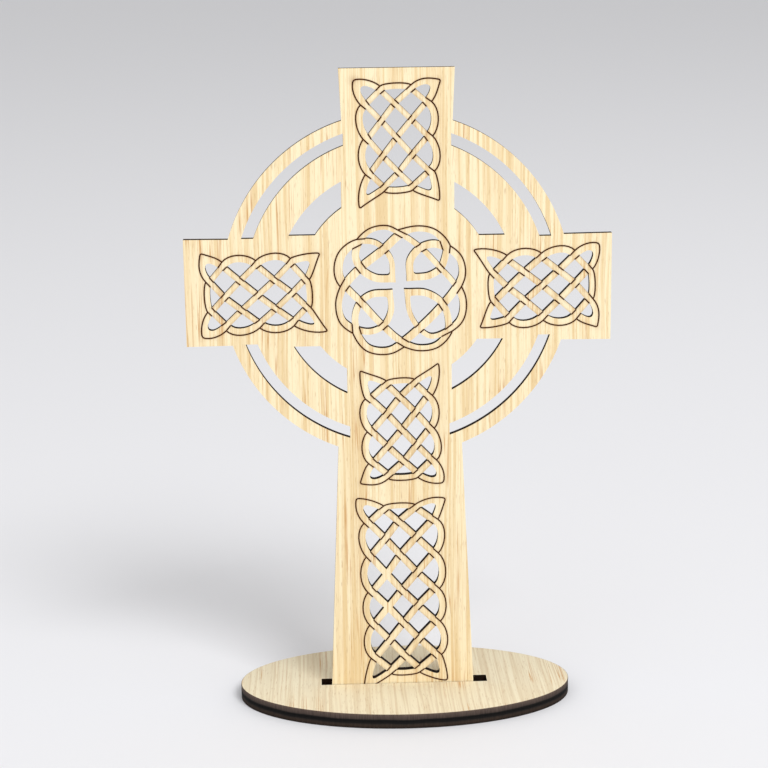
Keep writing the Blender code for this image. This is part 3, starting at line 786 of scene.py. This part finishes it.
class Drawing:
    """All that is cut and burnt into the plate: outlines, scored lines and the tips of the knots' ears."""

    def __init__(self):
        self.outlines = [plate_outline()] + ring_cuts()
        self.scores = []
        self.tips = []
        rose = Rose()
        cuts = rose.cuts()
        self.outlines += [outline for outline, _ in cuts]
        self.scores += rose.scores(cuts)
        top_half = TOP_HALF_ROOT - TOP_PANEL_SIDE
        arm_half = ARM_HALF_ROOT - ARM_PANEL_SIDE
        stem_half = STEM_HALF_ROOT - STEM_PANEL_SIDE
        lower_end = ROSE_RADIUS + ROSE_TO_LOWER_PANEL + LOWER_PANEL_LENGTH
        short_plaits = (
            (ROSE_TO_TOP_PANEL, TOP_REACH - TOP_PANEL_MARGIN, top_half, 1, TOP_STRAND, TOP_PANEL_ASIDE),
            (ROSE_TO_LEFT_PANEL, ARM_REACH - LEFT_PANEL_MARGIN, arm_half, 1j, LEFT_STRAND, LEFT_PANEL_ASIDE),
            (ROSE_TO_RIGHT_PANEL, ARM_REACH - RIGHT_PANEL_MARGIN, arm_half, -1j, RIGHT_STRAND, 0.0),
            (ROSE_TO_LOWER_PANEL, lower_end, stem_half, -1, LOWER_STRAND, 0.0),
        )
        for from_rose, far_end, half_width, turn, strand, aside in short_plaits:
            near_end = ROSE_RADIUS + from_rose
            length = far_end - near_end
            plait = Plait(SHORT_ROWS, SHORT_COLUMNS, SHORT_LEAN, SHORT_EARS, half_width, length, strand)
            self.add_plait(plait, complex(aside, near_end), turn)
        long_top = -lower_end - LONG_PANEL_GAP
        long_bottom = foot_height() + LONG_PANEL_FOOT
        long_length = long_top - long_bottom
        plait = Plait(LONG_ROWS, LONG_COLUMNS, LONG_LEAN, LONG_EARS, stem_half, long_length, LONG_STRAND)
        self.add_plait(plait, 1j * long_bottom, 1, LONG_UNSCORED)

    def add_plait(self, plait, place, turn, unscored=()):
        cuts = plait.cuts()
        self.outlines += [[(point + place) * turn for point in outline] for outline, _ in cuts]
        self.scores += [[(point + place) * turn for point in line] for line in plait.scores(cuts, unscored)]
        self.tips += [(point + place) * turn for point in plait.ear_tips()]

    def cut_finder(self, step):
        """A search tree over the edges of the plate and of all its cuts."""
        return point_finder([outline + outline[:1] for outline in self.outlines], step)


def area(outline):
    return sum(cross(before, after) for before, after in zip(outline, outline[1:] + outline[:1])) / 2


def dotted(line, step):
    """The line's points and enough between them that none is further than step from the next."""
    points = [line[0]]
    for before, after in zip(line, line[1:]):
        count = max(1, math.ceil(abs(after - before) / step))
        points += [before + (after - before) * (index + 1) / count for index in range(count)]
    return points


def point_finder(lines, step):
    """A search tree over dotted lines."""
    points = [point for line in lines for point in dotted(line, step)]
    tree = KDTree(len(points))
    for index, point in enumerate(points):
        tree.insert((point.real, point.imag, 0.0), index)
    tree.balance()
    return tree


def distance_to(tree, point):
    return tree.find((point.real, point.imag, 0.0))[2]


def scored_sheet(drawing, looks, finder):
    """The plate's front as (points, triangles): flat, with a groove along each scored line."""
    half = looks.score_width / 2
    cut_finder = drawing.cut_finder(CUT_SEARCH_STEP)
    points = []
    edges = []
    faces = []

    def add_edges(line):
        start = len(points)
        points.extend(line)
        edges.extend((index, index + 1) for index in range(start, len(points) - 1))

    def add_browning_point(point, from_line, from_cut):
        if distance_to(finder, point) > half + from_line and distance_to(cut_finder, point) > from_cut:
            points.append(point)

    for outline in drawing.outlines:
        start = len(points)
        points.extend(outline if area(outline) > 0 else outline[::-1])
        faces.append(list(range(start, len(points))))
    for line in drawing.scores:
        line = dotted(line, LINE_STEP)
        left = beside(line, half)
        right = beside(line, -half)
        before = line[0] + unit(line[0] - line[1]) * half
        after = line[-1] + unit(line[-1] - line[-2]) * half
        add_edges([before] + left + [after])
        add_edges([before] + right + [after])
        add_edges(line)
    for line in drawing.scores:
        for side in (-1, 1):
            for point in beside(dotted(line, BROWNING_STEP), side * (half + BROWNING_ASIDE)):
                add_browning_point(point, *ASIDE_CLEARANCE)
    for row in range(int((TOP_REACH + MIDDLE_HEIGHT) / looks.grid_step)):
        for column in range(int(2 * ARM_REACH / looks.grid_step)):
            across = (column + 0.5 * (row % 2)) * looks.grid_step - ARM_REACH
            add_browning_point(complex(across, TOP_REACH - row * looks.grid_step), *GRID_CLEARANCE)
    coords = [Vector((point.real, point.imag)) for point in points]
    found = delaunay_2d_cdt(coords, edges, faces, 0, MERGE_DISTANCE, True)
    kept = [face for face, inside in zip(found[2], found[5]) if list(inside) == [0]]
    used = sorted({index for face in kept for index in face})
    renumbered = {index: place for place, index in enumerate(used)}
    sheet_points = []
    for index in used:
        point = complex(*found[0][index])
        distance = distance_to(finder, point)
        sink = looks.score_depth * max(0.0, 1 - distance / half)
        sheet_points.append((point.real, sink if distance < half * GROOVE_END else 0.0, point.imag))
    return sheet_points, [[renumbered[index] for index in face] for face in kept]


def connect(tree, node, inputs):
    """Gives a node's inputs their values or links."""
    for key, value in inputs:
        if isinstance(value, bpy.types.NodeSocket):
            tree.links.new(value, node.inputs[key])
        else:
            node.inputs[key].default_value = value


def add_node(tree, kind, inputs=(), stops=(), out=0, **settings):
    """Adds a node with its settings, values, links and colour stops, and gives one of its outputs."""
    node = tree.nodes.new("ShaderNode" + kind)
    for name, value in settings.items():
        setattr(node, name, value)
    connect(tree, node, inputs)
    for index, (place, tint) in enumerate(stops):
        stop = node.color_ramp.elements[index] if index < 2 else node.color_ramp.elements.new(place)
        stop.position = place
        stop.color = tint
    return node.outputs[out]


def new_material(name):
    material = bpy.data.materials.new(name)
    material.use_nodes = True
    tree = material.node_tree
    return material, tree, tree.nodes["Principled BSDF"]


def grey(value):
    return (value, value, value, 1.0)


def plywood(name, looks, grain_turn):
    """Laser plywood with a basswood face, sanded and unfinished.

    It gives the eye a pale creamy sheet with fine straight lines along the grain: warm bands about 4 mm
    wide, growth lines that run on for 70 mm, a few thin orange-brown late-wood lines 0.3 mm wide, and
    pores 4 mm long. Growth lines are drawn 1 mm apart and pores 0.3 mm wide, twice as coarse as in the
    wood, so that they show. The grain runs along Z, and grain_turn lays it another way. The attribute
    "scorch" browns it beside the burnt lines.
    """
    material, tree, shader = new_material(name)
    place = add_node(tree, "TexCoord", out="Object")
    turned = add_node(tree, "Mapping", [("Vector", place), ("Rotation", grain_turn)])
    waver = add_node(tree, "TexNoise", [("Vector", turned), ("Scale", 16.0), ("Detail", 1.0)], out=1)
    centred = add_node(tree, "VectorMath", [(0, waver), (1, (0.5,) * 3)], operation="SUBTRACT")
    swing = add_node(tree, "VectorMath", [(0, centred), (1, GRAIN_SWING)], operation="MULTIPLY")
    wavy = add_node(tree, "VectorMath", [(0, turned), (1, swing)], operation="ADD")
    shares = {}
    # Each scale is one over the size in metres, so that 1000 gives lines 1 mm wide
    streaks = (
        ("band", (260.0, 260.0, 7.0), 1.0, ((0.50, grey(0.0)), (0.76, grey(0.65)))),
        ("line", (1000.0, 1000.0, 14.0), 2.0, ((0.47, grey(0.0)), (0.62, grey(0.75)))),
        ("late", (420.0, 420.0, 6.0), 1.0, ((0.480, grey(0.0)), (0.500, grey(0.80)), (0.520, grey(0.0)))),
        ("pore", (3000.0, 3000.0, 260.0), 1.0, ((0.62, grey(0.0)), (0.76, grey(0.40)))),
    )
    for streak, scale, detail, stops in streaks:
        drawn_out = add_node(tree, "Mapping", [("Vector", wavy), ("Scale", scale)])
        inputs = [("Vector", drawn_out), ("Scale", 1.0), ("Detail", detail), ("Roughness", 0.6)]
        noise = add_node(tree, "TexNoise", inputs)
        shares[streak] = add_node(tree, "ValToRGB", [("Fac", noise)], stops)
    patches = add_node(tree, "TexNoise", [("Vector", turned), ("Scale", 55.0), ("Detail", 1.0)])
    stops = (0.45, grey(0.1)), (0.62, grey(1.0))
    shown = add_node(tree, "ValToRGB", [("Fac", patches)], stops)
    late_share = add_node(tree, "Math", [(0, shares["late"]), (1, shown)], operation="MULTIPLY")
    scorch = add_node(tree, "Attribute", attribute_name="scorch", out="Fac")
    tint = linear(looks.pale)
    warm = linear(looks.warm)
    layers = (
        (shares["band"], warm),
        (shares["line"], warm),
        (late_share, linear("c08a4c")),
        (shares["pore"], linear("a97f50")),
        (scorch, linear("7a431c")),
    )
    for share, layer in layers:
        tint = add_node(tree, "Mix", [("Factor", share), (6, tint), (7, layer)], data_type="RGBA", out=2)
    roughness_range = [("Value", shares["line"]), ("To Min", 0.62), ("To Max", 0.78)]
    roughness = add_node(tree, "MapRange", roughness_range)
    relief = [("Height", shares["pore"]), ("Strength", 0.25), ("Distance", 0.06 * MM)]
    bump = add_node(tree, "Bump", relief, invert=True)
    connect(tree, shader, [("Base Color", tint), ("Roughness", roughness), ("Normal", bump)])
    connect(tree, shader, [("IOR", 1.5), ("Specular IOR Level", 0.3)])
    return material


def scored_line():
    """The bottom of a laser-scored line: matt brown char, darker where the beam slowed."""
    material, tree, shader = new_material("laser_scored_char")
    place = add_node(tree, "TexCoord", out="Object")
    patches = add_node(tree, "TexNoise", [("Vector", place), ("Scale", 900.0), ("Detail", 2.0)])
    stops = (0.3, linear("30150a")), (0.7, linear("583016"))
    tint = add_node(tree, "ValToRGB", [("Fac", patches)], stops)
    connect(tree, shader, [("Base Color", tint), ("Roughness", 0.95), ("Specular IOR Level", 0.0)])
    return material


def charred_cut():
    """Walls of the laser cuts through the plate, and of the slot: near-black char with faint streaks.

    The streaks left by the beam are about 0.25 mm apart and run the plate's 3 mm thickness, along Y.
    """
    material, tree, shader = new_material("laser_cut_char")
    place = add_node(tree, "TexCoord", out="Object")
    drawn_out = add_node(tree, "Mapping", [("Vector", place), ("Scale", (4000.0, 250.0, 4000.0))])
    streaks = add_node(tree, "TexNoise", [("Vector", drawn_out), ("Scale", 1.0), ("Detail", 2.0)])
    patches = add_node(tree, "TexNoise", [("Vector", place), ("Scale", 260.0), ("Detail", 2.0)])
    mixed = add_node(tree, "Mix", [("Factor", 0.45), (2, streaks), (3, patches)])
    stops = (0.36, linear("0d0705")), (0.66, linear("2c1a10"))
    tint = add_node(tree, "ValToRGB", [("Fac", mixed)], stops)
    relief = [("Height", streaks), ("Strength", 0.3), ("Distance", 0.08 * MM)]
    bump = add_node(tree, "Bump", relief)
    connect(tree, shader, [("Base Color", tint), ("Normal", bump)])
    connect(tree, shader, [("Roughness", 0.9), ("Specular IOR Level", 0.15)])
    return material


def charred_rim_with_painted_light():
    """Edge of the two base boards, laser-cut: char in bands that follow the boards round, with painted shade
    and a painted highlight among them.

    From the top it gives a greyed purple-brown that lightens at the very top as a painted highlight along the
    top edge, a near-black band round the seam where the boards meet, and dark brown. The band is partly soot
    on the boards' edges and partly painted shade under the upper board's overhang.
    The beam's upright streaks are about 0.35 mm apart.
    """
    material, tree, shader = new_material("laser_cut_board_edge_with_painted_light")
    place = add_node(tree, "TexCoord", out="Object")
    height = add_node(tree, "SeparateXYZ", [("Vector", place)], out="Z")
    limits = [("Value", height), ("From Min", LOWER_BOX[0].z), ("From Max", UPPER_BOX[1].z)]
    share = add_node(tree, "MapRange", limits)
    patches = add_node(tree, "TexNoise", [("Vector", place), ("Scale", 90.0), ("Detail", 3.0)])
    lift = [(0, patches), (1, 0.16), (2, share)]
    lifted = add_node(tree, "Math", lift, operation="MULTIPLY_ADD")
    shifted = add_node(tree, "Math", [(0, lifted), (1, 0.08)], operation="SUBTRACT")
    # The near-black stops from 0.38 to 0.60 paint shade round the seam over the soot there, and the lightest
    # stop at the top paints a highlight along the top edge
    bands = (
        (0.0, linear("241a14")),
        (1.0, linear("6b594f")),
        (0.22, linear("382b22")),
        (0.32, linear("2c241f")),
        (0.38, linear("0b0807")),
        (0.60, linear("0d0a09")),
        (0.68, linear("4a3e38")),
        (0.9, linear("5c4e47")),
    )
    banded = add_node(tree, "ValToRGB", [("Fac", shifted)], bands)
    drawn_out = add_node(tree, "Mapping", [("Vector", place), ("Scale", (2800.0, 2800.0, 200.0))])
    streaks = add_node(tree, "TexNoise", [("Vector", drawn_out), ("Scale", 1.0), ("Detail", 2.0)])
    stops = (0.35, grey(0.55)), (0.7, grey(1.0))
    dimming = add_node(tree, "ValToRGB", [("Fac", streaks)], stops)
    layers = [("Factor", 1.0), (6, banded), (7, dimming)]
    tint = add_node(tree, "Mix", layers, data_type="RGBA", blend_type="MULTIPLY", out=2)
    relief = [("Height", streaks), ("Strength", 0.3), ("Distance", 0.1 * MM)]
    bump = add_node(tree, "Bump", relief)
    connect(tree, shader, [("Base Color", tint), ("Normal", bump)])
    connect(tree, shader, [("Roughness", 0.85), ("Specular IOR Level", 0.2)])
    return material


def only(piece):
    """Makes the piece the one selected and active object."""
    bpy.ops.object.select_all(action="DESELECT")
    piece.select_set(True)
    bpy.context.view_layer.objects.active = piece


def dress(piece, nodes):
    """Puts a finished piece on the body and in the place of its CAD nodes."""
    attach(piece, "root")
    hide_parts(*nodes)


class CROSSORNAMENT_OT_cross(bpy.types.Operator):
    """Builds the upright cross: its cuts, its scored knotwork and its burnt walls"""

    bl_idname = "cross_ornament.cross"
    bl_label = "Scored cross"

    def execute(self, context):
        looks = context.scene.cross_looks
        drawing = Drawing()
        finder = point_finder(drawing.scores, SCORE_SEARCH_STEP)
        points, triangles = scored_sheet(drawing, looks, finder)
        front = CROSS_BOX[0].y
        back = CROSS_BOX[1].y
        mesh = bpy.data.meshes.new("cross_scored_plate")
        mesh.from_pydata([(x, front + sink, MIDDLE_HEIGHT + z) for x, sink, z in points], [], triangles)
        piece = bpy.data.objects.new("cross_scored_plate", mesh)
        context.scene.collection.objects.link(piece)
        only(piece)
        bpy.ops.object.mode_set(mode="EDIT")
        bpy.ops.mesh.select_all(action="SELECT")
        bpy.ops.mesh.extrude_region_move(TRANSFORM_OT_translate={"value": (0, back - front, 0)})
        bpy.ops.transform.resize(value=(1, 0, 1), center_override=(0, back, 0))
        bpy.ops.mesh.select_all(action="SELECT")
        bpy.ops.mesh.normals_make_consistent(inside=False)
        bpy.ops.object.mode_set(mode="OBJECT")
        bpy.ops.object.shade_smooth_by_angle(angle=math.radians(25))
        self.char(piece, looks, drawing, finder)
        dress(piece, ["cross_plate"])
        return {"FINISHED"}

    def char(self, piece, looks, drawing, finder):
        """Gives the faces their materials and the points their browning."""
        wood = plywood("basswood_plywood_cross", looks, (0, 0, 0))
        for material in (wood, scored_line(), charred_cut()):
            piece.data.materials.append(material)
        front = CROSS_BOX[0].y
        half = looks.score_width / 2
        for face in piece.data.polygons:
            if abs(face.normal.y) < WALL_LEAN:
                face.material_index = 2
            elif face.normal.y < 0 and face.center.y > front + 0.02 * looks.score_depth:
                spot = complex(face.center.x, face.center.z - MIDDLE_HEIGHT)
                face.material_index = 1 if distance_to(finder, spot) < half else 0
        cut_finder = drawing.cut_finder(FINE_SEARCH_STEP)
        tips = np.array([[tip.real, tip.imag] for tip in drawing.tips])
        blots = np.array(TIP_BLOTS)
        scorch = []
        for vertex in piece.data.vertices:
            spot = complex(vertex.co.x, vertex.co.z - MIDDLE_HEIGHT)
            to_cut = distance_to(cut_finder, spot)
            if vertex.co.y > front + looks.score_depth * 2:
                scorch.append(BACK_BROWNING * math.exp(-to_cut / (BACK_REACH * looks.scorch_reach)))
                continue
            to_score = max(0.0, distance_to(finder, spot) - half)
            to_tips = np.hypot(tips[:, 0] - spot.real, tips[:, 1] - spot.imag)
            at_tips = np.sum(blots * np.exp(-(to_tips / BLOT_REACH) ** 2))
            scorch.append(min(1.0, LINE_BROWNING * math.exp(-to_score / looks.scorch_reach) + at_tips))
        attribute = piece.data.attributes.new("scorch", "FLOAT", "POINT")
        attribute.data.foreach_set("value", np.array(scorch, np.float32))


class CROSSORNAMENT_OT_base(bpy.types.Operator):
    """Builds the two oval boards of the base with the slot for the foot"""

    bl_idname = "cross_ornament.base"
    bl_label = "Oval base"

    def execute(self, context):
        looks = context.scene.base_looks
        seam = (LOWER_BOX[1].z + UPPER_BOX[0].z) / 2
        wood = plywood("basswood_plywood_base", looks, (math.radians(90), 0, 0))
        # The boards' edge material holds painted shade at the seam and a painted highlight at the top
        edge = charred_rim_with_painted_light()
        slot_wall = charred_cut()
        levels = (
            ("base_lower_board", "base_oval_lower", LOWER_BOX[0].z, seam - looks.seam / 2, -1),
            ("base_upper_board", "base_oval_upper", seam + looks.seam / 2, UPPER_BOX[1].z, 1),
        )
        for name, node, low, high, outwards in levels:
            piece = self.oval(name, low, high, looks)
            self.cut_slot(piece, low, high)
            for material in (wood, edge, slot_wall):
                piece.data.materials.append(material)
            for face in piece.data.polygons:
                if face.normal.z * outwards > 0.99:
                    face.material_index = 0
                else:
                    face.material_index = 2 if self.in_slot(face.center) else 1
            dress(piece, [node])
        return {"FINISHED"}

    def oval(self, name, low, high, looks):
        corner, far_corner = UPPER_BOX
        middle = (corner + far_corner) / 2
        length = far_corner.x - corner.x
        depth = far_corner.y - corner.y
        bpy.ops.object.select_all(action="DESELECT")
        bpy.ops.mesh.primitive_cylinder_add(
            vertices=looks.points,
            radius=length / 2,
            depth=high - low,
            location=(middle.x, middle.y, (low + high) / 2),
        )
        piece = bpy.context.object
        piece.name = name
        bpy.ops.object.transform_apply(location=True, rotation=True, scale=True)
        bpy.ops.object.mode_set(mode="EDIT")
        bpy.ops.mesh.select_all(action="SELECT")
        bpy.ops.transform.resize(value=(1, depth / length, 1), center_override=middle)
        bpy.ops.mesh.select_all(action="DESELECT")
        bpy.ops.object.mode_set(mode="OBJECT")
        for rim_edge in piece.data.edges:
            ends = [piece.data.vertices[index].co.z for index in rim_edge.vertices]
            rim_edge.select = abs(ends[0] - ends[1]) < 1e-6
        bpy.ops.object.mode_set(mode="EDIT")
        bpy.ops.mesh.select_mode(type="EDGE")
        bpy.ops.mesh.bevel(offset=looks.soft_edge, segments=2)
        bpy.ops.object.mode_set(mode="OBJECT")
        bpy.ops.object.shade_smooth_by_angle(angle=math.radians(40))
        return piece

    def slot_sides(self):
        return -STEM_HALF_FOOT - SLOT_LEFT_ROOM, STEM_HALF_FOOT + SLOT_RIGHT_ROOM, CROSS_BOX[0].y - SLOT_GAP

    def in_slot(self, point):
        left, right, front = self.slot_sides()
        tiny = 0.01 * MM
        return left - tiny < point.x < right + tiny and front - tiny < point.y < front + SLOT_DEPTH + tiny

    def cut_slot(self, piece, low, high):
        left, right, front = self.slot_sides()
        bpy.ops.object.select_all(action="DESELECT")
        bpy.ops.mesh.primitive_cube_add(
            size=1,
            location=((left + right) / 2, front + SLOT_DEPTH / 2, (low + high) / 2),
            scale=(right - left, SLOT_DEPTH, 2 * (high - low)),
        )
        cutter = bpy.context.object
        modifier = piece.modifiers.new("slot", "BOOLEAN")
        modifier.operation = "DIFFERENCE"
        modifier.solver = "EXACT"
        modifier.object = cutter
        only(piece)
        bpy.ops.object.modifier_apply(modifier="slot")
        bpy.data.objects.remove(cutter, do_unlink=True)


class CROSSORNAMENT_OT_stage(bpy.types.Operator):
    """Builds the pale floor, the soft lights and the camera"""

    bl_idname = "cross_ornament.stage"
    bl_label = "Stage"

    def execute(self, context):
        looks = context.scene.stage_looks
        bpy.ops.object.select_all(action="DESELECT")
        bpy.ops.mesh.primitive_plane_add(size=looks.floor_size)
        floor = context.object
        floor.name = "floor"
        material, _, shader = new_material("matt_paper_floor")
        shader.inputs["Base Color"].default_value = linear(looks.floor_colour)
        shader.inputs["Roughness"].default_value = 0.9
        floor.data.materials.append(material)
        self.add_light("key_softbox", place=(1.3, -2.25, 2.7), size=1.5, power=80.0)
        self.add_light("fill_softbox", place=(-1.5, -2.1, 0.4), size=1.6, power=8.0)
        world = bpy.data.worlds.new("studio")
        world.use_nodes = True
        background = world.node_tree.nodes["Background"]
        background.inputs["Color"].default_value = (1.0, 1.0, 1.0, 1.0)
        background.inputs["Strength"].default_value = 0.68
        context.scene.world = world
        context.scene.view_settings.view_transform = "Standard"
        camera_data = bpy.data.cameras.new("camera")
        camera_data.lens = CAMERA_LENS
        camera_data.clip_start = 0.05
        camera_data.clip_end = 60.0
        camera = bpy.data.objects.new("camera", camera_data)
        camera.location = CAMERA_PLACE
        camera.rotation_euler = [math.radians(angle) for angle in CAMERA_TURN]
        context.scene.collection.objects.link(camera)
        context.scene.camera = camera
        return {"FINISHED"}

    def add_light(self, name, place, size, power):
        light_data = bpy.data.lights.new(name, "AREA")
        light_data.energy = power
        light_data.size = size
        light = bpy.data.objects.new(name, light_data)
        light.location = place
        aim = Vector(LIGHT_AIM) - light.location
        light.rotation_euler = aim.to_track_quat("-Z", "Y").to_euler()
        bpy.context.scene.collection.objects.link(light)


class CROSSORNAMENT_PT_panel(bpy.types.Panel):
    bl_idname = "CROSSORNAMENT_PT_panel"
    bl_label = "Cross ornament"
    bl_space_type = "VIEW_3D"
    bl_region_type = "UI"
    bl_category = "Cross ornament"

    def draw(self, context):
        scene = context.scene
        for looks in (scene.cross_looks, scene.base_looks, scene.stage_looks):
            box = self.layout.box()
            for name in looks.bl_rna.properties.keys():
                if name not in ("rna_type", "name"):
                    box.prop(looks, name)
        for operator in (CROSSORNAMENT_OT_cross, CROSSORNAMENT_OT_base, CROSSORNAMENT_OT_stage):
            self.layout.operator(operator.bl_idname)


CLASSES = (
    CrossLooks,
    BaseLooks,
    StageLooks,
    CROSSORNAMENT_OT_cross,
    CROSSORNAMENT_OT_base,
    CROSSORNAMENT_OT_stage,
    CROSSORNAMENT_PT_panel,
)


def register():
    for item in CLASSES:
        bpy.utils.register_class(item)
    bpy.types.Scene.cross_looks = PointerProperty(type=CrossLooks)
    bpy.types.Scene.base_looks = PointerProperty(type=BaseLooks)
    bpy.types.Scene.stage_looks = PointerProperty(type=StageLooks)


def unregister():
    del bpy.types.Scene.stage_looks
    del bpy.types.Scene.base_looks
    del bpy.types.Scene.cross_looks
    for item in reversed(CLASSES):
        bpy.utils.unregister_class(item)


def main():
    register()
    bpy.ops.cross_ornament.cross()
    bpy.ops.cross_ornament.base()
    bpy.ops.cross_ornament.stage()


if __name__ == "__main__":
    main()
